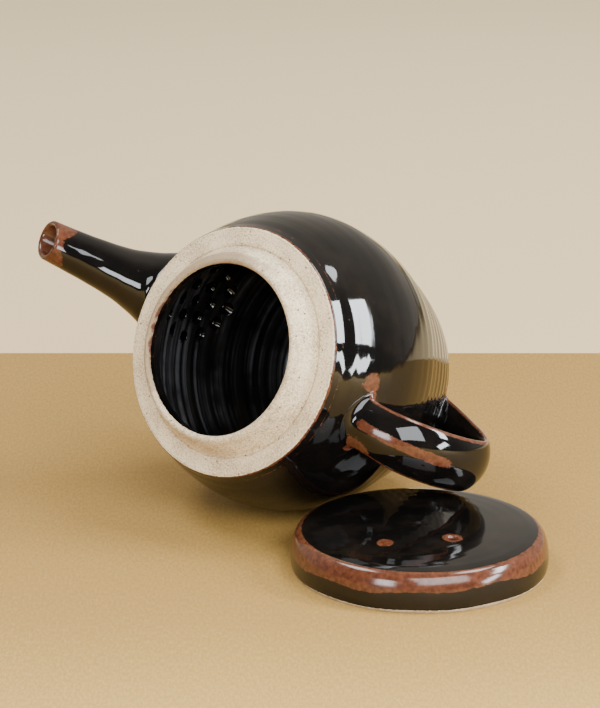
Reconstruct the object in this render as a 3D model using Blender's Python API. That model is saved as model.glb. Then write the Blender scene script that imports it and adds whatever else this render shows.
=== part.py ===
"""Thrown stoneware teapot lying on its side, with its cap lid on the table beside it.

The pot has its own frame: the mouth's axis is +Z, the unglazed ledge that the lid
sits on is the plane z = 0, the handle is at +X and the spout at -X. Two empties,
pot_frame and lid_frame, lay the pot down and put the lid on the table. Fired clay
pieces are luted together, so each piece stops a hair short of the wall it joins.
"""
import math

import bmesh
import bpy
from mathutils import Matrix, Vector

# ---- driving dimensions, in metres ------------------------------------------------
JOINT_GAP = 0.0003            # left where one clay piece meets another

# pot, measured along its axis: depth is how far below the ledge a section lies
POT_DEPTH = 0.114             # ledge to foot
LEDGE_RADIUS = 0.0542
WALL = 0.005
BODY_SECTIONS = (             # (depth, outer radius) of the thrown wall
    (0.0012, 0.0548), (0.005, 0.0563), (0.010, 0.0587), (0.020, 0.0627),
    (0.032, 0.0658), (0.044, 0.0665), (0.060, 0.0636), (0.075, 0.0580),
    (0.090, 0.0520), (0.103, 0.0457), (0.1085, 0.0415))
INNER_START_DEPTH = 0.013     # the inner wall follows the outer one below this
INNER_FLOOR_DEPTH = 0.1045
FOOT_RADIUS = 0.0385
FOOT_NECK_DEPTH = 0.1105      # where the foot ring leaves the wall
FOOT_RECESS_RADIUS = 0.0330

# collar round the mouth, standing on the ledge and leaning in
COLLAR_HEIGHT = 0.0102
COLLAR_BASE_RADIUS = 0.0463
COLLAR_LIP_RADIUS = 0.0405
MOUTH_RADIUS = 0.0372

# strainer pierced through the wall behind the spout, in rings round a middle hole
STRAINER_DEPTH = 0.044
STRAINER_RINGS = ((0.0, 1), (0.0095, 6), (0.0188, 12))    # (ring radius, holes)
STRAINER_HOLE_RADIUS = 0.0022
STRAINER_HOLE_SIDES = 10

# spout: rings from its tip to its root, as distance from the pot's axis, height above
# the ledge, tilt of the ring's normal from the horizontal, half-size in the plane of
# the spout and half-size across it
SPOUT_RINGS = (
    (0.1080, 0.0120, 62, 0.0104, 0.0090),
    (0.0980, 0.0050, 44, 0.0101, 0.0097),
    (0.0885, -0.0025, 37, 0.0110, 0.0107),
    (0.0795, -0.0100, 33, 0.0134, 0.0123),
    (0.0715, -0.0190, 27, 0.0178, 0.0158),
    (0.0640, -0.0300, 13, 0.0240, 0.0212),
    (0.0540, -0.0400, 0, 0.0300, 0.0275))
SPOUT_TIP_WALL = 0.0024
SPOUT_ROOT_WALL = 0.0048

# strap handle: middle line as distance from the pot's axis and height above the ledge,
# then the strap's width and thickness there
HANDLE_PATH = (
    (0.0540, -0.0205, 0.0240, 0.0110),
    (0.0630, -0.0212, 0.0225, 0.0100),
    (0.0720, -0.0222, 0.0225, 0.0092),
    (0.0830, -0.0270, 0.0240, 0.0088),
    (0.0915, -0.0380, 0.0245, 0.0088),
    (0.0962, -0.0530, 0.0245, 0.0088),
    (0.0950, -0.0670, 0.0240, 0.0088),
    (0.0860, -0.0785, 0.0232, 0.0086),
    (0.0720, -0.0880, 0.0228, 0.0086),
    (0.0560, -0.0965, 0.0230, 0.0094),
    (0.0400, -0.1020, 0.0240, 0.0104))

STRAP_EDGE = 0.0034           # thickness at the strap's edges
STRAP_OUTER_SHARE = 0.68      # how much of its crown is on the outer face

# cap lid, measured up from the table: (radius, height)
LID_OUTER = (
    (0.0543, 0.0), (0.0549, 0.0020), (0.0550, 0.0056), (0.0546, 0.0095),
    (0.0537, 0.0130), (0.0524, 0.0153), (0.0500, 0.0168), (0.0440, 0.0176),
    (0.0330, 0.0184), (0.0180, 0.0190), (0.0, 0.0192))
LID_SKIRT_RADIUS = 0.0482     # inside of the skirt, clear of the collar
LID_INNER = (
    (0.0, 0.0130), (0.0180, 0.0129), (0.0340, 0.0126), (0.0440, 0.0122),
    (0.0470, 0.0108), (LID_SKIRT_RADIUS, 0.0080), (LID_SKIRT_RADIUS, 0.0))
STEAM_HOLE_RADIUS = 0.0020
STEAM_HOLE_PLACE = (0.0130, -0.0170)

# how the two pieces lie on the table
AXIS_ELEVATION = math.radians(20)      # the mouth looks up by this much
AXIS_TURN = math.radians(-38)          # and is swung from -Y towards -X
POT_ROLL = math.radians(-16)           # the handle hangs below the horizontal
LID_FROM_MOUTH = (0.0806, -0.0466)     # lid's centre, along X and Y from the mouth's

# tessellation
TURN_STEPS = 56
CURVE_STEPS = 2
SPOUT_STEPS = 28
STRAP_SIDE_STEPS = 9


# ---- curves -----------------------------------------------------------------------
def smooth(points, steps):
    """Points on a Catmull-Rom curve through the given tuples, steps to a span."""
    first = tuple(2 * a - b for a, b in zip(points[0], points[1]))
    last = tuple(2 * a - b for a, b in zip(points[-1], points[-2]))
    padded = [first, *points, last]
    curve = []
    for p0, p1, p2, p3 in zip(padded, padded[1:], padded[2:], padded[3:]):
        for i in range(steps):
            t = i / steps
            curve.append(tuple(
                0.5 * (2 * b + (c - a) * t + (2 * a - 5 * b + 4 * c - d) * t ** 2
                       + (3 * b - a - 3 * c + d) * t ** 3)
                for a, b, c, d in zip(p0, p1, p2, p3)))
    curve.append(tuple(points[-1]))
    return curve


def arc(centre, radius, start_deg, end_deg, steps):
    """Points of a circular arc in a profile's (radius, height) plane."""
    angles = [math.radians(start_deg + (end_deg - start_deg) * i / steps) for i in range(steps + 1)]
    return [(centre[0] + radius * math.cos(a), centre[1] + radius * math.sin(a)) for a in angles]


def outer_wall(extra=0.0):
    """The thrown wall's outer curve as (radius, height), from ledge to foot."""
    return [(r + extra, -depth) for depth, r in smooth(BODY_SECTIONS, CURVE_STEPS)]


def inner_wall():
    """The inner curve, one wall thickness inside the outer one, as (radius, height)."""
    curve = outer_wall()
    inner = []
    for before, here, after in zip(curve, curve[1:], curve[2:]):
        along = Vector((after[0] - before[0], after[1] - before[1])).normalized()
        point = Vector(here) + WALL * Vector((along.y, -along.x))
        if INNER_START_DEPTH < -point.y < INNER_FLOOR_DEPTH - 0.006:
            inner.append((point.x, point.y))
    return inner


# ---- building ---------------------------------------------------------------------
def material(name, colour, roughness):
    """A ceramic surface in one colour."""
    result = bpy.data.materials.new(name)
    result.use_nodes = True
    shader = result.node_tree.nodes["Principled BSDF"]
    shader.inputs["Base Color"].default_value = (*colour, 1)
    shader.inputs["Roughness"].default_value = roughness
    shader.inputs["Metallic"].default_value = 0.0
    return result


def add_object(name, mesh_builder, surface, parent):
    """Turn a bmesh into a named, smooth-shaded object under an empty."""
    bmesh.ops.recalc_face_normals(mesh_builder, faces=mesh_builder.faces)
    mesh = bpy.data.meshes.new(name)
    mesh_builder.to_mesh(mesh)
    mesh_builder.free()
    mesh.shade_smooth()
    mesh.set_sharp_from_angle(angle=math.radians(40))
    if surface:
        mesh.materials.append(surface)
    result = bpy.data.objects.new(name, mesh)
    bpy.context.scene.collection.objects.link(result)
    result.parent = parent
    return result


def revolve(profile):
    """Turn a closed (radius, height) profile about Z; points on the axis become poles."""
    shape = bmesh.new()
    rings = []
    for radius, height in profile:
        if radius == 0.0:
            rings.append([shape.verts.new((0, 0, height))])
            continue
        angles = [2 * math.pi * i / TURN_STEPS for i in range(TURN_STEPS)]
        rings.append([shape.verts.new((radius * math.cos(a), radius * math.sin(a), height)) for a in angles])
    for ring, following in zip(rings, rings[1:] + rings[:1]):
        if len(ring) == 1 and len(following) == 1:
            continue
        for i in range(TURN_STEPS):
            j = (i + 1) % TURN_STEPS
            corners = [ring[i % len(ring)], ring[j % len(ring)],
                       following[j % len(following)], following[i % len(following)]]
            shape.faces.new(list(dict.fromkeys(corners)))
    return shape


def loft(rings, closed_ends):
    """Join equal rings of points into a tube; without closed ends it joins up on itself."""
    shape = bmesh.new()
    made = [[shape.verts.new(point) for point in ring] for ring in rings]
    pairs = list(zip(made, made[1:]))
    if not closed_ends:
        pairs.append((made[-1], made[0]))
    for ring, following in pairs:
        for i in range(len(ring)):
            j = (i + 1) % len(ring)
            shape.faces.new((ring[i], ring[j], following[j], following[i]))
    if closed_ends:
        shape.faces.new(made[0])
        shape.faces.new(made[-1])
    return shape


def cut(target, cutter):
    """Subtract a hidden cutter from an object."""
    cutter.hide_render = True
    cutter.display_type = 'WIRE'
    boolean = target.modifiers.new("cut_" + cutter.name, 'BOOLEAN')
    boolean.operation = 'DIFFERENCE'
    boolean.solver = 'EXACT'
    boolean.object = cutter


# ---- pieces -----------------------------------------------------------------------
def pot_profile():
    """Closed profile of the thrown body: collar, ledge, wall, foot ring and inside."""
    lip_height = COLLAR_HEIGHT - 0.0017
    collar = arc((MOUTH_RADIUS + 0.0017, lip_height), 0.0017, 180, 60, 4)
    collar += [(COLLAR_LIP_RADIUS, COLLAR_HEIGHT - 0.0012), (COLLAR_BASE_RADIUS - 0.0014, 0.0013)]
    ledge = [(COLLAR_BASE_RADIUS - 0.0006, 0.0003), (COLLAR_BASE_RADIUS + 0.0004, 0.0),
             (LEDGE_RADIUS - 0.0005, 0.0), (LEDGE_RADIUS, -0.0004)]
    foot = [(FOOT_RADIUS, -FOOT_NECK_DEPTH), (FOOT_RADIUS, 0.0008 - POT_DEPTH),
            (FOOT_RADIUS - 0.0008, -POT_DEPTH), (FOOT_RECESS_RADIUS, -POT_DEPTH),
            (FOOT_RECESS_RADIUS - 0.0012, -FOOT_NECK_DEPTH), (0.0, -FOOT_NECK_DEPTH)]
    floor = [(0.0, -INNER_FLOOR_DEPTH), (0.024, -INNER_FLOOR_DEPTH), (0.034, 0.0018 - INNER_FLOOR_DEPTH)]
    shoulder = [(0.0506, -0.0090), (0.0462, -0.0055), (0.0410, -0.0020), (0.0382, 0.0015),
                (0.0375, 0.0050)]
    return collar + ledge + outer_wall() + foot + floor + inner_wall()[::-1] + shoulder


def strainer_holes():
    """Centres of the pierced holes, as (depth, angle about the pot's axis)."""
    belly_radius = max(r for _, r in BODY_SECTIONS)
    holes = []
    for ring_radius, count in STRAINER_RINGS:
        for i in range(count):
            turn = 2 * math.pi * i / count
            angle = math.pi + ring_radius * math.sin(turn) / belly_radius
            holes.append((STRAINER_DEPTH + ring_radius * math.cos(turn), angle))
    return holes


def strainer_cutter(parent):
    """Round pins that pierce the wall behind the spout, all pointing at the pot's axis."""
    pins = bmesh.new()
    for depth, angle in strainer_holes():
        place = (Matrix.Rotation(angle, 4, 'Z') @ Matrix.Translation((0.060, 0, -depth))
                 @ Matrix.Rotation(math.radians(90), 4, 'Y'))
        bmesh.ops.create_cone(pins, cap_ends=True, segments=STRAINER_HOLE_SIDES, radius1=STRAINER_HOLE_RADIUS,
                              radius2=STRAINER_HOLE_RADIUS, depth=0.030, matrix=place)
    return add_object("strainer_cutter", pins, None, parent)


def make_pot_body(parent, glaze):
    body = add_object("pot_body", revolve(pot_profile()), glaze, parent)
    cut(body, strainer_cutter(parent))
    return body


def body_envelope(parent):
    """The body's outer shape as a solid, one joint gap larger, to trim what joins it."""
    wall = outer_wall(JOINT_GAP)
    profile = [(0.0, 0.0), (LEDGE_RADIUS + JOINT_GAP, 0.0)] + wall
    profile += [(FOOT_RADIUS, -FOOT_NECK_DEPTH), (0.0, -FOOT_NECK_DEPTH)]
    return add_object("body_envelope", revolve(profile), None, parent)


def spout_ring(station, wall):
    """One oval ring of the spout, made smaller by a wall thickness for the bore."""
    out, up, tilt_deg, half_in_plane, half_across = station
    tilt = math.radians(tilt_deg)
    centre = Vector((-out, 0, up))
    in_plane = Vector((math.sin(tilt), 0, math.cos(tilt)))
    across = Vector((0, 1, 0))
    angles = [2 * math.pi * i / SPOUT_STEPS for i in range(SPOUT_STEPS)]
    return [centre + (half_in_plane - wall) * math.cos(a) * in_plane
            + (half_across - wall) * math.sin(a) * across for a in angles]


def make_spout(parent, glaze, envelope):
    """A thrown cone with a bore from its open root to its rounded tip."""
    stations = smooth(SPOUT_RINGS, CURVE_STEPS)
    last = len(stations) - 1
    outside = [spout_ring(s, 0.0) for s in stations]
    inside = [spout_ring(s, SPOUT_TIP_WALL + (SPOUT_ROOT_WALL - SPOUT_TIP_WALL) * i / last)
              for i, s in enumerate(stations)]
    tip_out, tip_up, tip_tilt, tip_in_plane, tip_across = stations[0]
    lip_rise = 0.0009
    lip = (tip_out + lip_rise * math.cos(math.radians(tip_tilt)),
           tip_up + lip_rise * math.sin(math.radians(tip_tilt)), tip_tilt, tip_in_plane, tip_across)
    lip_rings = [spout_ring(lip, 0.0016), spout_ring(lip, 0.0007)]
    spout = add_object("spout", loft(inside[::-1] + lip_rings + outside, False), glaze, parent)
    cut(spout, envelope)
    return spout


def strap_section(width, thickness):
    """Points round the strap: thin round edges, a crowned outer face and a flatter inner one."""
    half = width / 2
    edge = 0.5 * STRAP_EDGE
    outer_crown = STRAP_OUTER_SHARE * (thickness - STRAP_EDGE)
    inner_crown = thickness - STRAP_EDGE - outer_crown
    across = [-1 + 2 * i / STRAP_SIDE_STEPS for i in range(STRAP_SIDE_STEPS + 1)]
    flat = half - 0.4 * edge
    outer = [(flat * u, edge + outer_crown * (1 - u * u)) for u in across]
    inner = [(flat * u, -edge - inner_crown * (1 - u * u)) for u in across[::-1]]
    right_edge = [(half, 0.45 * edge), (half, -0.45 * edge)]
    left_edge = [(-y, -offset) for y, offset in right_edge]
    return outer + right_edge + inner + left_edge


def make_handle(parent, glaze, envelope):
    """A pulled strap swept along its loop, with both ends run into the body and trimmed."""
    stations = smooth(HANDLE_PATH, CURVE_STEPS)
    rings = []
    for i, (out, up, width, thickness) in enumerate(stations):
        before = stations[max(i - 1, 0)]
        after = stations[min(i + 1, len(stations) - 1)]
        along = Vector((after[0] - before[0], 0, after[1] - before[1])).normalized()
        outward = Vector((-along.z, 0, along.x))
        ring = [Vector((out, 0, up)) + Vector((0, y, 0)) + outward * t for y, t in strap_section(width, thickness)]
        rings.append(ring)
    handle = add_object("handle", loft(rings, True), glaze, parent)
    cut(handle, envelope)
    return handle


def make_lid(parent, glaze):
    """A domed cap with a deep skirt that goes over the collar, and a steam hole."""
    lid = add_object("lid", revolve(list(LID_OUTER) + list(LID_INNER)), glaze, parent)
    pin = bmesh.new()
    bmesh.ops.create_cone(pin, cap_ends=True, segments=16, radius1=STEAM_HOLE_RADIUS, radius2=STEAM_HOLE_RADIUS,
                          depth=0.020, matrix=Matrix.Translation((*STEAM_HOLE_PLACE, 0.016)))
    cut(lid, add_object("steam_hole_cutter", pin, None, parent))
    return lid


# ---- assembly ---------------------------------------------------------------------
def mouth_height():
    """Height of the mouth's centre when the wall's lowest generator touches the table."""
    return max(-z * math.sin(AXIS_ELEVATION) + r * math.cos(AXIS_ELEVATION) for r, z in outer_wall())


def add_empty(name, matrix):
    empty = bpy.data.objects.new(name, None)
    bpy.context.scene.collection.objects.link(empty)
    empty.matrix_world = matrix
    return empty


def pot_placement():
    turn = Matrix.Rotation(AXIS_TURN, 4, 'Z')
    lay_down = Matrix.Rotation(math.pi / 2 - AXIS_ELEVATION, 4, 'X')
    roll = Matrix.Rotation(POT_ROLL, 4, 'Z')
    return Matrix.Translation((0, 0, mouth_height())) @ turn @ lay_down @ roll


def centre_on_floor(frames, pieces):
    """Shift both frames so that the row's origin is the middle of its footprint."""
    bpy.context.view_layer.update()
    graph = bpy.context.evaluated_depsgraph_get()
    corners = []
    for piece in pieces:
        evaluated = piece.evaluated_get(graph)
        mesh = evaluated.to_mesh()
        corners += [evaluated.matrix_world @ vertex.co for vertex in mesh.vertices]
        evaluated.to_mesh_clear()
    middle_x = (min(c.x for c in corners) + max(c.x for c in corners)) / 2
    middle_y = (min(c.y for c in corners) + max(c.y for c in corners)) / 2
    for frame in frames:
        frame.location.x -= middle_x
        frame.location.y -= middle_y


def main():
    for old in list(bpy.data.objects):
        bpy.data.objects.remove(old, do_unlink=True)
    body_glaze = material("body_glaze", (0.012, 0.009, 0.007), 0.08)
    spout_glaze = material("spout_glaze", (0.016, 0.010, 0.007), 0.08)
    handle_glaze = material("handle_glaze", (0.022, 0.012, 0.008), 0.08)
    lid_glaze = material("lid_glaze", (0.012, 0.008, 0.006), 0.06)
    pot_frame = add_empty("pot_frame", pot_placement())
    lid_frame = add_empty("lid_frame", Matrix.Translation((*LID_FROM_MOUTH, 0)))
    envelope = body_envelope(pot_frame)
    pieces = [make_pot_body(pot_frame, body_glaze), make_spout(pot_frame, spout_glaze, envelope),
              make_handle(pot_frame, handle_glaze, envelope), make_lid(lid_frame, lid_glaze)]
    centre_on_floor([pot_frame, lid_frame], pieces)


main()
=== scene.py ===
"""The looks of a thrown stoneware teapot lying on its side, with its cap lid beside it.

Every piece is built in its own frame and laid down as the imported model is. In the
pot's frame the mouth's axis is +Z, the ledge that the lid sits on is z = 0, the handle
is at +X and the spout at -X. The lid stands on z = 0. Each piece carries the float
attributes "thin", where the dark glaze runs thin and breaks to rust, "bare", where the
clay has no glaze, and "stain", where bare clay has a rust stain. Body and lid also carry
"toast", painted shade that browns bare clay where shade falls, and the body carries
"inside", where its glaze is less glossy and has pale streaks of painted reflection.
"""
import math

import bmesh
import bpy
import numpy as np
from mathutils import Matrix, Vector


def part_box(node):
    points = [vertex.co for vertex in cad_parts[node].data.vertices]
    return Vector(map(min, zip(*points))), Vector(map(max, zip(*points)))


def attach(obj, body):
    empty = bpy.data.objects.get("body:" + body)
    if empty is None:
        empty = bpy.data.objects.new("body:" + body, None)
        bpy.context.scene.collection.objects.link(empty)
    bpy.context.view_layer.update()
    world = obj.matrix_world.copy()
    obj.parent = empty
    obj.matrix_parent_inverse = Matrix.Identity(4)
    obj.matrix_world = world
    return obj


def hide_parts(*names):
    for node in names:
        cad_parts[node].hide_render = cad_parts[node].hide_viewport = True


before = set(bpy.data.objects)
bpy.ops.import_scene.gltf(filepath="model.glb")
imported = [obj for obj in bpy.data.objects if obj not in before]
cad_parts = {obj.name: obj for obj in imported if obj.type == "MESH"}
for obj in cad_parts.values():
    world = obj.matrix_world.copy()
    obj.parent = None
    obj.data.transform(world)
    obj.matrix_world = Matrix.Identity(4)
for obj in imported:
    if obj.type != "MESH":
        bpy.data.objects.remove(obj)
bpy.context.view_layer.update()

# ---- driving dimensions, in metres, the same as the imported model's -------------------
POT_DEPTH = 0.114             # ledge to foot
BASE_DEPTH = 0.1105           # ledge to the recess inside the foot ring
WALL = 0.005
BODY_SECTIONS = (             # (depth below the ledge, outer radius)
    (0.0012, 0.0548), (0.005, 0.0563), (0.010, 0.0587), (0.020, 0.0627),
    (0.032, 0.0658), (0.044, 0.0665), (0.060, 0.0636), (0.075, 0.0580),
    (0.090, 0.0520), (0.103, 0.0457), (0.1085, 0.0415))
INNER_FLOOR_DEPTH = 0.1045
STRAINER_DEPTH = 0.044
STRAINER_RINGS = ((0.0, 1), (0.0095, 6), (0.0188, 12))    # (ring radius, holes)
STRAINER_HOLE_RADIUS = 0.0022
SPOUT_RINGS = (               # (out, up, tilt, half-size in plane, half-size across)
    (0.1080, 0.0120, 62, 0.0104, 0.0090),
    (0.0980, 0.0050, 44, 0.0101, 0.0097),
    (0.0885, -0.0025, 37, 0.0110, 0.0107),
    (0.0795, -0.0100, 33, 0.0134, 0.0123),
    (0.0715, -0.0190, 27, 0.0178, 0.0158),
    (0.0640, -0.0300, 13, 0.0240, 0.0212),
    (0.0540, -0.0400, 0, 0.0300, 0.0275))
SPOUT_TIP_WALL = 0.0024
SPOUT_ROOT_WALL = 0.0048
HANDLE_PATH = (               # (out, up, width, thickness)
    (0.0540, -0.0205, 0.0240, 0.0110),
    (0.0630, -0.0212, 0.0225, 0.0100),
    (0.0720, -0.0222, 0.0225, 0.0092),
    (0.0830, -0.0270, 0.0240, 0.0088),
    (0.0915, -0.0380, 0.0245, 0.0088),
    (0.0962, -0.0530, 0.0245, 0.0088),
    (0.0950, -0.0670, 0.0240, 0.0088),
    (0.0860, -0.0785, 0.0232, 0.0086),
    (0.0720, -0.0880, 0.0228, 0.0086),
    (0.0560, -0.0965, 0.0230, 0.0094),
    (0.0400, -0.1020, 0.0240, 0.0104))
STRAP_EDGE = 0.0034           # thickness at the strap's edges
STRAP_OUTER_SHARE = 0.68      # how much of its crown is on the outer face
LID_SKIRT_RADIUS = 0.0482     # inside of the skirt, clear of the collar
STEAM_HOLE_RADIUS = 0.0020
STEAM_HOLE_PLACE = (0.0130, -0.0170)
AXIS_ELEVATION = math.radians(20)
AXIS_TURN = math.radians(-38)
POT_ROLL = math.radians(-16)
LID_FROM_MOUTH = (0.0806, -0.0466)    # the lid's axis from the ledge's middle, across the table

# ---- surface detail -------------------------------------------------------------------
RIB_PITCH = 0.0068            # throwing ribs left on the outside of the wall
RIB_HEIGHT = 0.00013
WALL_WOBBLE = 0.00012         # slow unevenness of the outside
RING_PITCH = 0.0088           # deeper throwing rings inside
RING_HEIGHT = 0.00050
TOOLING_PITCH = 0.00085       # fine turned lines on the bare ledge
TOOLING_HEIGHT = 0.00003
ROOT_LIFT = 0.00006           # how far a luted root's feathered edge stands on the wall
ROOT_TUCK = 0.0005            # and how far it dips under the glaze
SPOUT_FLARE = 0.0042          # how far each luted root's fillet feathers out
HANDLE_UPPER_FLARE = 0.0030
HANDLE_LOWER_FLARE = 0.0038
FILLET_STEPS = 12
SPOUT_RIPPLE = 0.00003
STRAP_RIPPLE = 0.00010
PIN_REACH = 0.060             # how far from the axis a strainer pin's middle is
PIN_HALF_LENGTH = 0.010
PIN_FLARE = 0.0005
STEAM_PIN_HALF_LENGTH = 0.008
STEAM_PIN_FLARE = 0.0006
STEPS_ROUND = 240
PLACE_FIELD = "upright_place"  # where each point was before its piece was laid down

# ---- colours, linear ------------------------------------------------------------------
GLAZE_DEEP = (0.0030, 0.0026, 0.0024)
GLAZE_WARM = (0.0080, 0.0058, 0.0045)
# painted reflection: the pale bluish streaks on the glaze inside the pot
GLAZE_INSIDE_PAINTED_SHEEN = (0.075, 0.074, 0.080)
RUST_DARK = (0.058, 0.017, 0.008)
RUST_LIGHT = (0.140, 0.045, 0.021)
CLAY_PALE = (0.860, 0.700, 0.465)
CLAY_WARM = (0.430, 0.310, 0.180)
# painted shade on the bare clay
CLAY_PAINTED_SHADE = (0.240, 0.150, 0.080)
CLAY_SPECK = (0.070, 0.040, 0.024)
CLAY_STAIN = (0.110, 0.036, 0.020)
PAPER = (0.600, 0.365, 0.088)
PAPER_FIBRE = (0.740, 0.500, 0.155)
WALL_PALE = (0.980, 0.770, 0.450)
# painted shade on the ground's strip just behind the paper
WALL_NEAR_PAINTED_SHADE = (0.760, 0.560, 0.310)
PAPER_PAINTED_SHADE = (0.56, 0.50, 0.40)    # painted shade: what the paper's far side is multiplied by
ROOM_FRONT = (0.13, 0.12, 0.11, 1)
ROOM_BACK = (0.62, 0.56, 0.47, 1)
DAYLIGHT = (0.93, 0.97, 1.0)

# ---- marks on the glaze and clay --------------------------------------------------------
BARE_FOOT_DEPTH = 0.1128      # the foot ring is bare below this
LUTED_SPOT = (0.0595, 0.0170, -0.0195)    # rust beside the handle's upper root
LUTED_SPOT_RADIUS = 0.0050
STAIN_SIDE = math.radians(190)
# the side of the collar that gets the most painted shade
PAINTED_SHADE_SIDE = math.radians(160)
COLLAR_GROOVE_SHADE_RADIUS = 0.0462  # painted shade: a brown line in the groove where the collar meets the ledge
LID_MIRRORED_RUST_SPOT = (-0.0153, -0.0222)  # painted reflection: a rust-coloured spot on the lid's top where the handle's rust edge is mirrored
LID_TOP_HEIGHT = 0.0165       # above this the lid's face counts as its top

# ---- stage ------------------------------------------------------------------------------
GROUND_HALF = 6
PAPER_LOW, PAPER_HIGH = (-1.6, -2.2), (1.6, 0.245)
PAPER_RISE = 0.0006           # the paper's top above the ground
SOFTBOX_AIM_HEIGHT = 0.06
SOFTBOXES = (                 # name, direction, distance, size, power, roll in degrees
    ("window_right", (0.86, -0.15, 0.49), 1.5, (0.22, 0.80), 21, -36),
    ("window_low", (0.87, -0.46, 0.10), 1.5, (0.44, 0.15), 7, 28),
    ("overhead_left", (-0.46, 0.08, 0.89), 1.6, (0.75, 0.45), 17, 0),
    ("overhead_right", (0.45, 0.07, 0.88), 1.6, (0.70, 0.45), 16, 0),
    ("front_left", (-0.47, -0.84, 0.24), 1.7, (0.46, 0.50), 13, 0),
    ("front_right", (0.30, -0.77, 0.50), 1.3, (1.00, 0.85), 27, 0))
LENS_MM = 162.7
SENSOR_MM = 36
CAMERA_PLACE = (0.0060, -1.3216, 0.5022)
CAMERA_DOWN = 17.79           # degrees below level


# ---- curves ---------------------------------------------------------------------------
def smooth(points, steps):
    """A Catmull-Rom curve through rows of numbers, with steps to a span."""
    rows = np.array(points, float)
    rows = np.vstack([2 * rows[0] - rows[1], rows, 2 * rows[-1] - rows[-2]])
    t = (np.arange(steps) / steps)[:, None]
    spans = [0.5 * (2 * b + (c - a) * t + (2 * a - 5 * b + 4 * c - d) * t ** 2
                    + (3 * b - a - 3 * c + d) * t ** 3)
             for a, b, c, d in zip(rows, rows[1:], rows[2:], rows[3:])]
    return np.vstack(spans + [rows[-2]])


def ramp(value, low, high):
    """0 below low, 1 above high, with a smooth change between; low may be the larger."""
    t = np.clip((np.asarray(value, float) - low) / (high - low), 0, 1)
    return t * t * (3 - 2 * t)


def resample(path, count):
    """The same polyline with count points at equal spacing."""
    length = np.concatenate([[0], np.cumsum(np.linalg.norm(np.diff(path, axis=0), axis=1))])
    wanted = np.linspace(0, length[-1], count)
    return np.column_stack([np.interp(wanted, length, column) for column in path.T])


def hand_wobble(angle, along):
    """Slow unevenness of a hand-thrown wall, between about -1 and 1."""
    return (np.sin(2 * angle + 31 * along + 0.7) + 0.6 * np.sin(3 * angle - 47 * along + 2.1)
            + 0.4 * np.sin(5 * angle + 83 * along + 4.0)) / 2


WALL_CURVE = smooth(BODY_SECTIONS, 14)


def wall_relief(depth, angle):
    """Throwing ribs and unevenness on the outside of the wall."""
    ribs = np.sin(2 * math.pi * (depth / RIB_PITCH - angle / (2 * math.pi)))
    ribs += 0.5 * np.sin(2 * math.pi * (depth / (0.47 * RIB_PITCH)) + 1.3)
    ribs *= 0.12 + 0.88 * ramp(depth, 0.046, 0.070)
    ends = ramp(depth, 0.002, 0.012) * ramp(depth, 0.108, 0.100)
    return RIB_HEIGHT * ends * ribs + WALL_WOBBLE * ends * hand_wobble(angle, depth)


def body_radius(depth, angle):
    """Outer radius of the thrown wall at a depth and an angle about the pot's axis."""
    return np.interp(depth, WALL_CURVE[:, 0], WALL_CURVE[:, 1]) + wall_relief(depth, angle)


# ---- mesh building --------------------------------------------------------------------
def surface(name, grid, fields, round_first, round_second, caps=()):
    """A quad mesh over a grid of points, with float attributes. caps names the grid rows
    (0 or -1) whose loop is closed by one face."""
    rows, columns = grid.shape[:2]
    index = np.arange(rows * columns).reshape(rows, columns)
    ahead = np.roll(index, -1, axis=0) if round_first else index[1:]
    here = index if round_first else index[:-1]
    quads = np.stack([here, np.roll(here, -1, axis=1), np.roll(ahead, -1, axis=1), ahead], axis=-1)
    if not round_second:
        quads = quads[:, :-1]
    faces = quads.reshape(-1, 4).tolist() + [index[row].tolist() for row in caps]
    mesh = bpy.data.meshes.new(name)
    mesh.from_pydata(grid.reshape(-1, 3).tolist(), [], faces)
    for field, values in fields.items():
        mesh.attributes.new(field, "FLOAT", "POINT").data.foreach_set(
            "value", np.ascontiguousarray(values, np.float32).reshape(-1))
    shape = bmesh.new()
    shape.from_mesh(mesh)
    bmesh.ops.recalc_face_normals(shape, faces=shape.faces)
    shape.to_mesh(mesh)
    shape.free()
    mesh.shade_smooth()
    made = bpy.data.objects.new(name, mesh)
    bpy.context.scene.collection.objects.link(made)
    return made


def turned(profile, relief):
    """Grid of a turned shape: profile rows are (radius, height), relief is along the normal."""
    angle = np.linspace(0, 2 * math.pi, STEPS_ROUND, endpoint=False)
    along = np.gradient(profile[:, :2], axis=0)
    along /= np.maximum(np.linalg.norm(along, axis=1, keepdims=True), 1e-9)
    push = relief(angle[None, :])
    radius = profile[:, :1] + along[:, 1:2] * push
    height = profile[:, 1:2] - along[:, :1] * push
    return np.stack([radius * np.cos(angle), radius * np.sin(angle),
                     height + 0 * angle], axis=-1), angle


def flared_pin(sides, radius, flare, half_length, mouths):
    """Rows of (radius, along) for a hole's cutter that widens at each mouth, so that the
    hole's edge is round. mouths are the places along it of the wall's two faces."""
    low, high = mouths
    rows = [(radius + 3 * flare, -half_length), (radius + flare, low),
            (radius + 0.3 * flare, low + 0.5 * flare),
            (radius, low + 1.3 * flare), (radius, high - 1.3 * flare),
            (radius + 0.3 * flare, high - 0.5 * flare), (radius + flare, high),
            (radius + 3 * flare, half_length)]
    angle = np.linspace(0, 2 * math.pi, sides, endpoint=False)
    return np.stack([np.stack([r * np.cos(angle), r * np.sin(angle), z + 0 * angle], axis=-1)
                     for r, z in rows])


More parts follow.
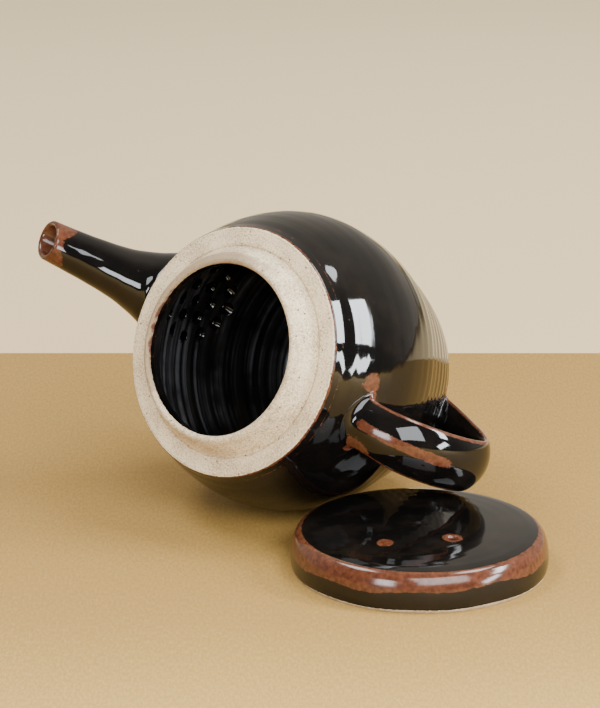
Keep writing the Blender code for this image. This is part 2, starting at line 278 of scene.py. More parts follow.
def bore(target, cutters):
    """Cut holes in a mesh and apply the cut."""
    for cutter in cutters:
        cutter.data.materials.append(target.data.materials[0])
    bpy.ops.object.select_all(action="DESELECT")
    for cutter in cutters:
        cutter.select_set(True)
    bpy.context.view_layer.objects.active = cutters[0]
    if len(cutters) > 1:
        bpy.ops.object.join()
    tool = bpy.context.view_layer.objects.active
    cut = target.modifiers.new("bore", "BOOLEAN")
    cut.operation, cut.solver, cut.object = "DIFFERENCE", "EXACT", tool
    bpy.context.view_layer.objects.active = target
    target.select_set(True)
    bpy.ops.object.modifier_apply(modifier=cut.name)
    bpy.data.objects.remove(tool)


# ---- luted roots ----------------------------------------------------------------------
def gap_to_body(points):
    """How far points stand off the wall, measured from the pot's axis."""
    angle = np.arctan2(points[..., 1], points[..., 0])
    return np.hypot(points[..., 0], points[..., 1]) - body_radius(-points[..., 2], angle)


def onto_body(points, lift):
    """Points moved straight out from the pot's axis until they stand lift off the wall."""
    angle = np.arctan2(points[..., 1], points[..., 0])
    radius = body_radius(-points[..., 2], angle) + lift
    return np.stack([radius * np.cos(angle), radius * np.sin(angle), points[..., 2]], axis=-1)


def first_touch(path):
    """Index of the first point of a path that is inside the wall."""
    inside = np.nonzero(gap_to_body(path) < 0)[0]
    return int(inside[0]) if len(inside) else len(path) - 1


def land(paths, flare, steps_free, steps_fillet):
    """End each path on the body's wall with a fillet of smoothed clay that feathers out
    by flare, and tuck its edge under the glaze. Paths run from the free end inwards."""
    touches = np.array([path[first_touch(path)] for path in paths])
    middle = touches.mean(axis=0)
    landed = []
    for path, touch in zip(paths, touches):
        stop = first_touch(path)
        free = path[:stop + 1]
        spans = np.linalg.norm(np.diff(free, axis=0), axis=1)
        left = np.concatenate([np.cumsum(spans[::-1])[::-1], [0]])
        free = free[left >= flare]
        outward = touch - middle
        normal = np.array([touch[0], touch[1], 0]) / math.hypot(touch[0], touch[1])
        outward -= normal * outward.dot(normal)
        outward /= np.linalg.norm(outward)
        foot = onto_body(touch + flare * outward, ROOT_LIFT)
        t = np.linspace(0, 1, steps_fillet + 1)[1:, None]
        fillet = (1 - t) ** 2 * free[-1] + 2 * t * (1 - t) * onto_body(touch, ROOT_LIFT) + t ** 2 * foot
        clear = gap_to_body(fillet)
        fillet = np.where((clear < ROOT_LIFT)[:, None], onto_body(fillet, ROOT_LIFT), fillet)
        tuck = onto_body(foot + 0.5 * ROOT_TUCK * outward, -ROOT_TUCK)
        landed.append(np.vstack([resample(free, steps_free), fillet, tuck]))
    return np.array(landed)


# ---- node graphs ----------------------------------------------------------------------
class Graph:
    """Short calls that build one material's node tree."""

    def __init__(self, name, place_field=None):
        self.material = bpy.data.materials.new(name)
        self.material.use_nodes = True
        self.tree = self.material.node_tree
        self.shader = self.tree.nodes["Principled BSDF"]
        if place_field:
            self.where = self.node("ShaderNodeAttribute", attribute_name=place_field).outputs["Vector"]
        else:
            self.where = self.node("ShaderNodeTexCoord").outputs["Object"]

    def node(self, kind, sockets=(), **settings):
        made = self.tree.nodes.new(kind)
        for key, value in settings.items():
            setattr(made, key, value)
        for key, value in dict(sockets).items():
            self.feed(made.inputs[key], value)
        return made

    def feed(self, socket, value):
        if isinstance(value, bpy.types.NodeSocket):
            self.tree.links.new(value, socket)
        elif isinstance(value, tuple) and len(socket.default_value) == 4:
            socket.default_value = (*value, 1)
        else:
            socket.default_value = value

    def attribute(self, name):
        return self.node("ShaderNodeAttribute", attribute_name=name).outputs["Fac"]

    def noise(self, scale, detail=3, rough=0.55, where=None):
        sockets = {"Vector": where or self.where, "Scale": scale, "Detail": detail, "Roughness": rough}
        return self.node("ShaderNodeTexNoise", sockets).outputs["Fac"]

    def cells(self, scale):
        sockets = {"Vector": self.where, "Scale": scale}
        return self.node("ShaderNodeTexVoronoi", sockets).outputs["Distance"]

    def sum(self, operation, a, b=0.0):
        made = self.node("ShaderNodeMath", operation=operation)
        self.feed(made.inputs[0], a)
        self.feed(made.inputs[1], b)
        return made.outputs[0]

    def swing(self, value, amount):
        """A noise moved from 0..1 to both sides of zero, amount wide."""
        return self.sum("MULTIPLY", self.sum("SUBTRACT", value, 0.5), amount)

    def step(self, value, low, high, to_low=0.0, to_high=1.0):
        return self.node("ShaderNodeMapRange", {"Value": value, "From Min": low, "From Max": high,
                                                "To Min": to_low, "To Max": to_high},
                         interpolation_type="SMOOTHSTEP").outputs["Result"]

    def mix(self, share, a, b):
        made = self.node("ShaderNodeMix", data_type="RGBA")
        for key, value in ((0, share), (6, a), (7, b)):
            self.feed(made.inputs[key], value)
        return made.outputs[2]

    def bump(self, height, distance, under=None):
        sockets = {"Height": height, "Distance": distance, "Strength": 1.0}
        if under is not None:
            sockets["Normal"] = under
        return self.node("ShaderNodeBump", sockets).outputs["Normal"]

    def turned_place(self):
        """(radius, height) of a point on a turned piece, for lines that run round it."""
        split = self.node("ShaderNodeSeparateXYZ", {"Vector": self.where})
        x_squared = self.sum("MULTIPLY", split.outputs["X"], split.outputs["X"])
        y_squared = self.sum("MULTIPLY", split.outputs["Y"], split.outputs["Y"])
        radius = self.sum("SQRT", self.sum("ADD", x_squared, y_squared))
        return self.node("ShaderNodeCombineXYZ", {"X": radius, "Y": split.outputs["Z"]}).outputs["Vector"]


# ---- materials ------------------------------------------------------------------------
def glaze_colour(g):
    """Dark tenmoku glaze that breaks to rust where it is thin, with pale streaks of painted reflection
    inside the pot. Returns colour and rust mask.
    """
    ragged = g.swing(g.noise(260, 4), 0.9)
    fine = g.swing(g.noise(1200, 4, 0.7), 0.8)
    thin = g.sum("ADD", g.sum("MULTIPLY", g.attribute("thin"), 1.3), g.sum("ADD", ragged, fine))
    thin = g.step(thin, 0.48, 0.66)
    dark = g.mix(g.step(g.noise(55, 3), 0.42, 0.72), GLAZE_DEEP, GLAZE_WARM)
    # painted reflection: pale bluish streaks mixed into the glaze's colour inside the pot
    painted_sheen_streaks = g.sum("MULTIPLY", g.step(g.noise(420, 3, 0.6, g.turned_place()), 0.42, 0.66),
                    g.step(g.noise(45, 3), 0.35, 0.62))
    dark = g.mix(g.sum("MULTIPLY", g.attribute("inside"), painted_sheen_streaks), dark, GLAZE_INSIDE_PAINTED_SHEEN)
    rust = g.mix(g.step(g.noise(480, 3), 0.22, 0.80), RUST_DARK, RUST_LIGHT)
    return g.mix(thin, dark, rust), thin


def clay_colour(g):
    """Pale speckled stoneware with turned lines, browner in patches. Returns its colour,
    turned lines, grain and pits."""
    lines = g.noise(1300, 2, 0.6, g.turned_place())
    grain = g.noise(1150, 4, 0.8)
    tone = g.sum("ADD", g.sum("MULTIPLY", lines, 0.14), g.sum("MULTIPLY", g.noise(60, 4), 0.35))
    tone = g.sum("ADD", tone, g.sum("MULTIPLY", grain, 0.85))
    clay = g.mix(g.step(tone, 0.60, 0.82), CLAY_PALE, CLAY_WARM)
    clay = g.mix(g.step(g.noise(1500, 3, 0.7), 0.56, 0.68, 0.0, 0.60), clay, CLAY_SPECK)
    pits = g.sum("MULTIPLY", g.step(g.cells(420), 0.22, 0.10), g.step(g.noise(300, 2), 0.52, 0.58))
    clay = g.mix(pits, clay, CLAY_SPECK)
    # painted shade: bare clay browned on the collar, in its groove, at the ledge's outer edge and on the
    # lid's bare clay
    painted_clay_shade = g.sum("ADD", g.attribute("painted_clay_shade"), g.swing(g.noise(300, 4), 0.8))
    clay = g.mix(g.step(painted_clay_shade, 0.20, 0.90, 0.0, 0.72), clay, CLAY_PAINTED_SHADE)
    stain = g.sum("ADD", g.attribute("stain"), g.sum("MULTIPLY", g.noise(330, 4), 0.6))
    return g.mix(g.step(stain, 0.80, 0.95), clay, CLAY_STAIN), lines, grain, pits


def ceramic(name):
    """Glaze over clay, each where the mesh's attributes put it."""
    g = Graph(name, PLACE_FIELD)
    glaze, thin = glaze_colour(g)
    clay, lines, grain, pits = clay_colour(g)
    edge = g.swing(g.noise(700, 3), 0.7)
    bare = g.step(g.sum("ADD", g.attribute("bare"), edge), 0.46, 0.56)
    g.feed(g.shader.inputs["Base Color"], g.mix(bare, glaze, clay))
    shine = g.sum("ADD", g.sum("MULTIPLY", g.noise(120, 3), 0.05), g.sum("MULTIPLY", thin, 0.10))
    shine = g.sum("ADD", shine, g.sum("MULTIPLY", g.attribute("inside"), 0.26))
    shine = g.sum("ADD", shine, 0.030)
    rough = g.node("ShaderNodeMix", data_type="FLOAT")
    for key, value in ((0, bare), (2, shine), (3, 0.85)):
        g.feed(rough.inputs[key], value)
    g.feed(g.shader.inputs["Roughness"], rough.outputs[0])
    peel = g.sum("ADD", g.sum("MULTIPLY", g.noise(150, 2), 0.065),
                 g.sum("MULTIPLY", g.noise(1100, 2), 0.035))
    pinholes = g.sum("MULTIPLY", g.step(g.cells(380), 0.10, 0.03), g.step(g.noise(90, 2), 0.58, 0.66))
    glaze_height = g.sum("SUBTRACT", peel, g.sum("MULTIPLY", pinholes, 0.35))
    clay_height = g.sum("ADD", g.sum("MULTIPLY", lines, 0.3), g.sum("MULTIPLY", grain, 1.2))
    clay_height = g.sum("SUBTRACT", clay_height, g.sum("MULTIPLY", pits, 1.2))
    under = g.bump(g.sum("MULTIPLY", glaze_height, g.sum("SUBTRACT", 1.0, bare)), 0.00012)
    g.feed(g.shader.inputs["Normal"], g.bump(g.sum("MULTIPLY", clay_height, bare), 0.00022, under))
    g.shader.inputs["IOR"].default_value = 1.50
    return g.material


def paper_material():
    """Plain brown paper with short faint fibres, with painted shade darkening its far side."""
    g = Graph("kraft_paper")
    stretch = {"Vector": g.where, "Scale": (1.0, 0.35, 1.0)}
    stretched = g.node("ShaderNodeMapping", stretch).outputs["Vector"]
    fibre = g.noise(900, 4, 0.65, stretched)
    sheet = g.mix(g.step(fibre, 0.35, 0.75), PAPER, PAPER_FIBRE)
    split = g.node("ShaderNodeSeparateXYZ", {"Vector": g.where})
    # painted shade: the paper grows darker towards its far side
    far_side_painted_shade = g.sum("ADD", split.outputs["Y"], g.sum("MULTIPLY", g.noise(4, 2), 0.1))
    shaded = g.node("ShaderNodeMix", data_type="RGBA", blend_type="MULTIPLY")
    for key, value in ((0, g.step(far_side_painted_shade, -0.32, 0.02)), (6, sheet), (7, PAPER_PAINTED_SHADE)):
        g.feed(shaded.inputs[key], value)
    g.feed(g.shader.inputs["Base Color"], shaded.outputs[2])
    g.shader.inputs["Roughness"].default_value = 0.75
    g.feed(g.shader.inputs["Normal"], g.bump(fibre, 0.00016))
    return g.material


def wall_material():
    """Pale ground, with painted shade making it a little darker where it starts behind the paper."""
    g = Graph("pale_ground")
    split = g.node("ShaderNodeSeparateXYZ", {"Vector": g.where})
    far = g.sum("ADD", split.outputs["Y"], g.sum("MULTIPLY", g.noise(3, 2), 0.1))
    # painted shade: the ground is darker near the paper and paler further back
    g.feed(g.shader.inputs["Base Color"], g.mix(g.step(far, 0.1, 1.3), WALL_NEAR_PAINTED_SHADE, WALL_PALE))
    g.shader.inputs["Roughness"].default_value = 0.9
    return g.material


# ---- placements -----------------------------------------------------------------------
def lid_placement():
    low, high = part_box("lid")
    return Matrix.Translation(((low.x + high.x) / 2, (low.y + high.y) / 2, 0))


def pot_placement():
    """The pot lies on its belly, so its wall's lowest line is on the table."""
    rise = float(np.max(WALL_CURVE[:, 0] * math.sin(AXIS_ELEVATION)
                        + WALL_CURVE[:, 1] * math.cos(AXIS_ELEVATION))) + RIB_HEIGHT
    lid = lid_placement().translation
    mouth = (lid.x - LID_FROM_MOUTH[0], lid.y - LID_FROM_MOUTH[1], rise)
    turn = Matrix.Rotation(AXIS_TURN, 4, "Z")
    lay_down = Matrix.Rotation(math.pi / 2 - AXIS_ELEVATION, 4, "X")
    return Matrix.Translation(mouth) @ turn @ lay_down @ Matrix.Rotation(POT_ROLL, 4, "Z")


def settle(piece, placement, material, body, node):
    """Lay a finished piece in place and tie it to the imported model."""
    mesh = piece.data
    upright = np.empty(3 * len(mesh.vertices), np.float32)
    mesh.vertices.foreach_get("co", upright)
    mesh.attributes.new(PLACE_FIELD, "FLOAT_VECTOR", "POINT").data.foreach_set("vector", upright)
    mesh.transform(placement)
    if not mesh.materials:
        mesh.materials.append(material)
    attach(piece, body)
    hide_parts(node)


# ---- the thrown body ------------------------------------------------------------------
def body_profile():
    """Rows of (radius, height) down the outside, from the lip to the base, zone by zone."""
    collar = smooth([(0.0372, 0.0066), (0.03725, 0.0083), (0.0378, 0.0096), (0.0389, 0.0102),
                     (0.0400, 0.0098), (0.0408, 0.0088), (0.0425, 0.0057), (0.0444, 0.0022),
                     (0.0452, 0.0004), (0.0459, -0.0004), (0.0464, -0.0004), (0.0469, -0.00005)], 8)
    ledge = np.column_stack([np.linspace(0.0471, 0.0534, 44), np.zeros(44)])
    rim = smooth([(0.0536, 0.0), (0.0541, -0.00015), (0.0545, -0.0005), (0.05475, -0.0009)], 5)
    wall = np.column_stack([WALL_CURVE[:, 1], -WALL_CURVE[:, 0]])
    foot = smooth([(0.0398, -0.1101), (0.0388, -0.1112), (0.0385, -0.1124), (0.0382, -0.1135),
                   (0.0374, -POT_DEPTH), (0.0355, -POT_DEPTH), (0.0336, -POT_DEPTH), (0.0330, -0.1136),
                   (0.0325, -0.1120), (0.0316, -0.1108), (0.0295, -BASE_DEPTH)], 5)
    base = np.column_stack([np.linspace(0.0285, 0.0004, 26), np.full(26, -BASE_DEPTH)])
    return collar, ledge, rim, wall, foot, base


def inside_profile():
    """Rows of (radius, height) up the inside, from the floor's middle to the collar, zone
    by zone."""
    floor = np.column_stack([np.linspace(0.0004, 0.026, 26), np.full(26, -INNER_FLOOR_DEPTH)])
    depth, radius = WALL_CURVE[:, 0], WALL_CURVE[:, 1]
    slope = np.gradient(radius, depth)
    length = np.hypot(1, slope)
    inner_depth, inner_radius = depth + WALL * slope / length, radius - WALL / length
    keep = (inner_depth > 0.013) & (inner_depth < 0.094)
    wall = np.column_stack([inner_radius[keep], -inner_depth[keep]])[::-1]
    corner = smooth([(0.026, -INNER_FLOOR_DEPTH), (0.034, -0.1030), (0.0400, -0.0990),
                     tuple(wall[0])], 8)[1:-1]
    shoulder = smooth([tuple(wall[-1]), (0.0506, -0.0090), (0.0462, -0.0055), (0.0410, -0.0020),
                       (0.0382, 0.0015), (0.0374, 0.0045)], 8)[1:]
    return floor, corner, wall, shoulder


def make_body(material):
    outer = body_profile()
    inner = inside_profile()
    zones = ("collar", "ledge", "rim", "wall", "foot", "base", "floor", "corner", "inside", "shoulder")
    parts = list(outer) + list(inner)
    profile = np.vstack(parts)
    zone = np.concatenate([np.full(len(part), i) for i, part in enumerate(parts)])
    is_in = {name: (zone == i)[:, None] for i, name in enumerate(zones)}
    radius, height = profile[:, :1], profile[:, 1:2]
    depth = -height
    length = np.concatenate([[0], np.cumsum(np.linalg.norm(np.diff(profile, axis=0), axis=1))])[:, None]
    floor_length = length[is_in["floor"]]
    inner = is_in["floor"] | is_in["corner"] | is_in["inside"] | is_in["shoulder"]

    def relief(angle):
        tooling = TOOLING_HEIGHT * np.sin(2 * math.pi * length / TOOLING_PITCH)
        tooling = tooling + 0.00005 * hand_wobble(angle, 6 * radius)
        ring = np.sin(2 * math.pi * (length / RING_PITCH + angle / (2 * math.pi)))
        ring = ring + 0.45 * np.sin(2 * math.pi * (length / (0.43 * RING_PITCH) - angle / math.pi) + 0.8)
        ring = RING_HEIGHT * ring * (0.8 + 0.3 * hand_wobble(angle, height))
        ring = ring * ramp(length, floor_length[0], floor_length[-1])
        ring = ring * ramp(height, 0.003, -0.014)
        outside = wall_relief(depth, angle)
        return (np.where(is_in["ledge"] | is_in["collar"], tooling, 0) + np.where(inner, ring, 0)
                + np.where(is_in["wall"], outside, 0))

    grid, angle = turned(profile, lambda a: -relief(a))
    bare = np.zeros_like(radius)
    bare = np.where(is_in["collar"], ramp(length, 0.0012, 0.0030), bare)
    bare = np.where(is_in["ledge"], 1.0, bare)
    bare = np.where(is_in["rim"], ramp(radius, 0.0550, 0.0536), bare)
    bare = np.where(is_in["foot"] & (radius > 0.0326) & (height < -BARE_FOOT_DEPTH), 1.0, bare)
    thin = np.where(is_in["rim"], 0.52, 0.0)
    thin = np.where(is_in["wall"], 0.50 * ramp(depth, 0.0022, 0.0009), thin)
    thin = np.maximum(thin, np.where(is_in["wall"], 0.46 * np.exp(-((depth - 0.0042) / 0.00035) ** 2), 0))
    thin = np.where(is_in["collar"] | is_in["shoulder"], 0.3 * ramp(height, 0.0030, 0.0060), thin)
    thin = np.where(is_in["foot"], 0.7, thin)
    luted = np.exp(-((grid[..., 0] - LUTED_SPOT[0]) ** 2 + (grid[..., 1] - LUTED_SPOT[1]) ** 2
                     + (grid[..., 2] - LUTED_SPOT[2]) ** 2) / LUTED_SPOT_RADIUS ** 2)
    thin = np.maximum(thin + 0 * angle, np.where(is_in["wall"], 0.9 * luted, 0))
    stain_side = ramp(np.cos(angle - STAIN_SIDE), 0.55, 0.95)[None, :]
    stain = np.where(is_in["collar"], ramp(length, 0.0065, 0.0025), 0) * stain_side * 0.6
    # painted shade: the collar browned more on one side and towards its lip, a brown line in the groove
    # at its foot, and the ledge's outer edge
    painted_shade_side = 0.35 + 0.65 * ramp(np.cos(angle - PAINTED_SHADE_SIDE), -0.2, 0.9)[None, :]
    painted_clay_shade = np.where(is_in["collar"], ramp(height, 0.0015, 0.0085), 0) * painted_shade_side
    groove_painted_shade = 0.55 * np.exp(-((radius - COLLAR_GROOVE_SHADE_RADIUS) / 0.0005) ** 2)
    painted_clay_shade = painted_clay_shade + np.where(is_in["collar"], groove_painted_shade, 0)
    painted_clay_shade = painted_clay_shade + np.where(is_in["ledge"], 0.5 * ramp(radius, 0.0526, 0.0536), 0)
    fields = {"thin": thin, "bare": bare + 0 * angle, "stain": stain, "painted_clay_shade": painted_clay_shade,
              "inside": 1.0 * inner + 0 * angle}
    body = surface("teapot_body", grid, fields, True, True)
    body.data.materials.append(material)
    pierce_strainer(body)
    x, _, z = points_of(body.data).T
    paint(body.data, (x < -0.03) & (z < -0.005) & (z > -0.09), thin=0, bare=0, stain=0)
    return body


def points_of(mesh):
    place = np.empty(3 * len(mesh.vertices), np.float32)
    mesh.vertices.foreach_get("co", place)
    return place.reshape(-1, 3)


def paint(mesh, where, **fields):
    """Set attributes on the chosen points of a mesh, such as those that a cut has made."""
    for field, value in fields.items():
        values = np.empty(len(mesh.vertices), np.float32)
        mesh.attributes[field].data.foreach_get("value", values)
        values[where] = value
        mesh.attributes[field].data.foreach_set("value", values)


def pierce_strainer(body):
    """Holes with soft edges through the wall behind the spout, all pointing at the axis."""
    belly = max(radius for _, radius in BODY_SECTIONS)
    face = belly - PIN_REACH
    mouths = (face - WALL - 0.0002, face + 0.0002)
    cutters = []
    for ring_radius, count in STRAINER_RINGS:
        for i in range(count):
            turn = 2 * math.pi * i / count
            angle = math.pi + ring_radius * math.sin(turn) / belly
            depth = STRAINER_DEPTH + ring_radius * math.cos(turn)
            pin = flared_pin(20, STRAINER_HOLE_RADIUS, PIN_FLARE, PIN_HALF_LENGTH, mouths)
            cutter = surface("pin", pin, {}, False, True, caps=(0, -1))
            cutter.data.transform(Matrix.Rotation(angle, 4, "Z")
                                  @ Matrix.Translation((PIN_REACH, 0, -depth))
                                  @ Matrix.Rotation(math.radians(90), 4, "Y"))
            cutters.append(cutter)
    bore(body, cutters)


# ---- spout ----------------------------------------------------------------------------
def spout_ring(station, wall, turn):
    out, up, tilt_deg, half_in_plane, half_across = station
    tilt = math.radians(tilt_deg)
    in_plane = np.array([math.sin(tilt), 0, math.cos(tilt)])
    across = np.array([0, 1, 0])
    return (np.array([-out, 0, up]) + (half_in_plane - wall) * np.cos(turn)[:, None] * in_plane
            + (half_across - wall) * np.sin(turn)[:, None] * across)


def make_spout():
    turn = np.linspace(0, 2 * math.pi, 112, endpoint=False)
    stations = smooth(SPOUT_RINGS, 22)
    share = np.linspace(0, 1, len(stations))
    rows = np.arange(len(stations))
    ripple = SPOUT_RIPPLE * np.sin(rows / 2.9) * ramp(share, 0.05, 0.2)
    outside = np.array([spout_ring(s, -d, turn) for s, d in zip(stations, ripple)])
    wall = SPOUT_TIP_WALL + (SPOUT_ROOT_WALL - SPOUT_TIP_WALL) * share
    inside = np.array([spout_ring(s, w, turn) for s, w in zip(stations, wall)])
    out, up, tilt_deg, half_in_plane, half_across = SPOUT_RINGS[0]
    tilt = math.radians(tilt_deg)
    lips = []
    for lift, inset in ((0.0004, 0.0001), (0.0008, 0.0004), (0.0010, 0.0009), (0.00095, 0.0015),
                        (0.0005, 0.0021)):
        lips.append(spout_ring((out + lift * math.cos(tilt), up + lift * math.sin(tilt), tilt_deg,
                                half_in_plane, half_across), inset, turn))
    outer = land(outside.transpose(1, 0, 2), SPOUT_FLARE, 84, FILLET_STEPS)
    bores = []
    for path in inside.transpose(1, 0, 2):
        free = path[:first_touch(path) + 1]
        bores.append(np.vstack([resample(free, 60), onto_body(free[-1:], -ROOT_TUCK)]))
    bores = np.array(bores)
    lip_rows = np.array(lips).transpose(1, 0, 2)
    grid = np.concatenate([bores[:, ::-1], lip_rows[:, ::-1], outer], axis=1).transpose(1, 0, 2)
    tip = np.array([-out, 0, up])
    away = np.linalg.norm(grid - tip, axis=-1)
    lean = 0.0012 * np.sin(turn * 3 + 0.6)[None, :]
    thin = 0.80 * ramp(away + lean, 0.0158, 0.0104)
    deep_rows = 40
    thin[:deep_rows] *= 0.5
    return surface("teapot_spout", grid, {"thin": thin, "bare": 0 * thin, "stain": 0 * thin}, True, True)


# ---- handle ---------------------------------------------------------------------------
def strap_section(width, thickness, turn):
    """Points (across, outward) round the strap: a crowned outer face, thin round edges."""
    u, s = np.cos(turn), np.sin(turn)
    crown = thickness - STRAP_EDGE
    outer, inner = STRAP_OUTER_SHARE * crown, (1 - STRAP_OUTER_SHARE) * crown
    edge = 0.5 * STRAP_EDGE * np.sign(s) * np.abs(s) ** 0.55
    rise = np.where(s > 0, outer, -inner) * (1 - u * u)
    return 0.5 * width * u, edge + rise


def make_handle():
    turn = np.linspace(0, 2 * math.pi, 96, endpoint=False) + math.pi / 96
    stations = smooth(HANDLE_PATH, 20)
    along = np.gradient(stations[:, :2], axis=0)
    along /= np.linalg.norm(along, axis=1, keepdims=True)
    rings = []
    for i, ((out, up, width, thickness), (dx, dz)) in enumerate(zip(stations, along)):
        across, outward = strap_section(width, thickness, turn)
        pulled = STRAP_RIPPLE * np.sin(turn * 2 + i / 9)
        outward = outward + pulled * np.abs(np.sin(turn))
        rings.append(np.column_stack([out - dz * outward, across, up + dx * outward]))
    lines = np.array(rings).transpose(1, 0, 2)
    half = lines.shape[1] // 2
    upper = land(lines[:, :half + 1][:, ::-1], HANDLE_UPPER_FLARE, 90, FILLET_STEPS)
    lower = land(lines[:, half:], HANDLE_LOWER_FLARE, 90, FILLET_STEPS)
    grid = np.concatenate([upper[:, ::-1], lower[:, 1:]], axis=1).transpose(1, 0, 2)
    place = np.linspace(0, 1, grid.shape[0])[:, None]
    u, s = np.cos(turn)[None, :], np.sin(turn)[None, :]
    edge = ramp(np.abs(u), 0.88, 0.97)
    ridge = ramp(np.abs(u - 0.05), 0.30, 0.08) * (s > 0)
    worn = ramp(place, 0.04, 0.09) * ramp(place, 0.50, 0.36)
    corner = ramp(place, 0.17, 0.10) * ramp(place, 0.01, 0.05) * ramp(u, -0.2, -0.9) * (s > 0)
    thin = np.maximum(np.maximum(0.80 * edge, 0.80 * ridge * worn), 0.78 * corner)
    return surface("teapot_handle", grid, {"thin": thin, "bare": 0 * thin, "stain": 0 * thin},
                   False, True, caps=(0, -1))


# ---- lid ------------------------------------------------------------------------------
def make_lid(material):
    side = smooth([(0.0539, 0.0), (0.0543, 0.0003), (0.0548, 0.0022), (0.0550, 0.0056), (0.0546, 0.0095),
                   (0.0538, 0.0126), (0.0527, 0.0148), (0.0510, 0.0163), (0.0480, 0.0171),
                   (0.0440, 0.0176), (0.0330, 0.0184), (0.0180, 0.0190), (0.0004, 0.0192)], 12)
    under = smooth([(0.0004, 0.0130), (0.0180, 0.0129), (0.0340, 0.0126), (0.0440, 0.0120),
                    (0.0472, 0.0104), (LID_SKIRT_RADIUS, 0.0080), (LID_SKIRT_RADIUS, 0.0030),
                    (0.0484, 0.0003), (0.0489, 0.0)], 10)
    face = np.column_stack([np.linspace(0.0492, 0.0536, 12), np.zeros(12)])
    profile = np.vstack([side, under, face])
    radius, height = profile[:, :1], profile[:, 1:2]
    row = np.arange(len(profile))[:, None]
    outer = row < len(side)

    def relief(angle):
        slow = 0.00010 * hand_wobble(angle, 1.5 * radius) * ramp(height, 0.001, 0.004)
        ring = 0.000012 * np.sin(2 * math.pi * radius / 0.0062 + 1.0) * ramp(radius, 0.050, 0.046)
        return np.where(outer, slow + ring, 0)

    grid, angle = turned(profile, lambda a: -relief(a))
    wave = 0.0012 * hand_wobble(angle, 0) + 0.0006 * np.sin(9 * angle + 1)
    band = ramp(height + wave, 0.0070, 0.0104) * ramp(radius, 0.0494, 0.0512)
    thin = np.where(outer, 0.92 * band, 0.0)
    steam = np.hypot(grid[..., 0] - STEAM_HOLE_PLACE[0], grid[..., 1] - STEAM_HOLE_PLACE[1])
    mirrored_rust_spot = np.hypot(grid[..., 0] - LID_MIRRORED_RUST_SPOT[0], 0.9 * (grid[..., 1] - LID_MIRRORED_RUST_SPOT[1]))
    top = np.where(outer & (height > LID_TOP_HEIGHT), 1.0, 0.0)
    thin = np.maximum(thin, top * 0.95 * ramp(steam, 0.0050, 0.0036))
    # painted reflection of the handle's rust edge on the lid's glossy top
    thin = np.maximum(thin, top * 0.85 * ramp(mirrored_rust_spot, 0.0048, 0.0022))
    bare = np.where(outer, ramp(height + 0.3 * wave, 0.0019, 0.0005), 1.0 * (height < 0.008)) + 0 * angle
    # painted shade browns all of the lid's bare clay
    fields = {"thin": thin, "bare": bare, "stain": 0 * thin, "painted_clay_shade": 0.85 * bare}
    lid = surface("teapot_lid", grid, fields, True, True)
    lid.data.materials.append(material)
    pin = flared_pin(32, STEAM_HOLE_RADIUS - 0.0002, STEAM_PIN_FLARE, STEAM_PIN_HALF_LENGTH,
                     (-0.0030, 0.0028))
    cutter = surface("steam_pin", pin, {}, False, True, caps=(0, -1))
    cutter.data.transform(Matrix.Translation((*STEAM_HOLE_PLACE, 0.0160)))
    bore(lid, [cutter])
    x, y, z = points_of(lid.data).T
    round_hole = np.hypot(x - STEAM_HOLE_PLACE[0], y - STEAM_HOLE_PLACE[1]) < 0.0036
    paint(lid.data, round_hole & (z > LID_TOP_HEIGHT), thin=0.95, bare=0, stain=0)
    paint(lid.data, round_hole & (z < LID_TOP_HEIGHT), thin=0, bare=0, stain=0)
    return lid


# ---- stage ----------------------------------------------------------------------------
def ground(name, low, high, height, material):
    """A flat sheet of ground."""
    xs = np.linspace(low[0], high[0], 9)
    ys = np.linspace(low[1], high[1], 9)
    grid = np.stack(np.meshgrid(xs, ys, indexing="ij") + [np.full((9, 9), height)], axis=-1)
    made = surface(name, grid, {}, False, False)
    made.data.materials.append(material)


def softbox(name, direction, distance, size, power, roll):
    """A rectangular area light that looks at the object, turned by roll degrees."""
    light = bpy.data.lights.new(name, "AREA")
    light.shape = "RECTANGLE"
    light.size, light.size_y = size
    light.energy = power
    light.color = DAYLIGHT
    made = bpy.data.objects.new(name, light)
    bpy.context.scene.collection.objects.link(made)
    aim = np.array(direction, float) / np.linalg.norm(direction)
    place = Matrix.Translation(aim * distance + np.array([0.0, 0.0, SOFTBOX_AIM_HEIGHT]))
    facing = Vector(aim).to_track_quat("Z", "Y").to_matrix().to_4x4()
    made.matrix_world = place @ facing @ Matrix.Rotation(math.radians(roll), 4, "Z")
    made.visible_camera = False


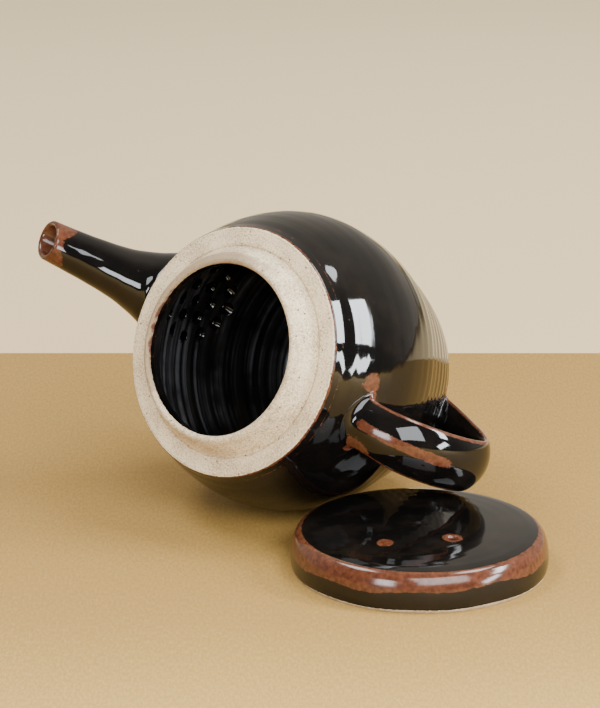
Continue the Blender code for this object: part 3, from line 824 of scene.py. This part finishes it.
def light_room():
    """A pale room that is bright behind the object and dim in front of it."""
    world = bpy.data.worlds.new("room")
    bpy.context.scene.world = world
    world.use_nodes = True
    tree = world.node_tree
    back = tree.nodes["Background"]
    where = tree.nodes.new("ShaderNodeTexCoord")
    split = tree.nodes.new("ShaderNodeSeparateXYZ")
    tree.links.new(where.outputs["Generated"], split.inputs[0])
    rise = tree.nodes.new("ShaderNodeMapRange")
    rise.interpolation_type = "SMOOTHSTEP"
    rise.inputs["From Min"].default_value = -0.35
    rise.inputs["From Max"].default_value = 0.45
    tree.links.new(split.outputs["Y"], rise.inputs["Value"])
    shade = tree.nodes.new("ShaderNodeMix")
    shade.data_type = "RGBA"
    tree.links.new(rise.outputs["Result"], shade.inputs[0])
    shade.inputs[6].default_value = ROOM_FRONT
    shade.inputs[7].default_value = ROOM_BACK
    tree.links.new(shade.outputs[2], back.inputs["Color"])
    back.inputs["Strength"].default_value = 1.0


def build_stage():
    ground("pale_table", (-GROUND_HALF, -GROUND_HALF), (GROUND_HALF, GROUND_HALF), -PAPER_RISE,
           wall_material())
    ground("paper_sheet", PAPER_LOW, PAPER_HIGH, 0.0, paper_material())
    light_room()
    for softbox_row in SOFTBOXES:
        softbox(*softbox_row)


def add_camera():
    """A long lens, level from side to side, looking down on the object."""
    camera = bpy.data.cameras.new("camera")
    camera.sensor_width = SENSOR_MM
    camera.lens = LENS_MM
    made = bpy.data.objects.new("camera", camera)
    bpy.context.scene.collection.objects.link(made)
    made.location = CAMERA_PLACE
    made.rotation_euler = (math.radians(90 - CAMERA_DOWN), 0, 0)
    camera.clip_end = 50
    bpy.context.scene.camera = made


# ---- assembly -------------------------------------------------------------------------
def main():
    glaze = ceramic("tenmoku_stoneware")
    pot, lid = pot_placement(), lid_placement()
    settle(make_body(glaze), pot, glaze, "pot", "pot_body")
    settle(make_spout(), pot, glaze, "pot", "spout")
    settle(make_handle(), pot, glaze, "pot", "handle")
    settle(make_lid(glaze), lid, glaze, "lid", "lid")
    build_stage()
    add_camera()


main()
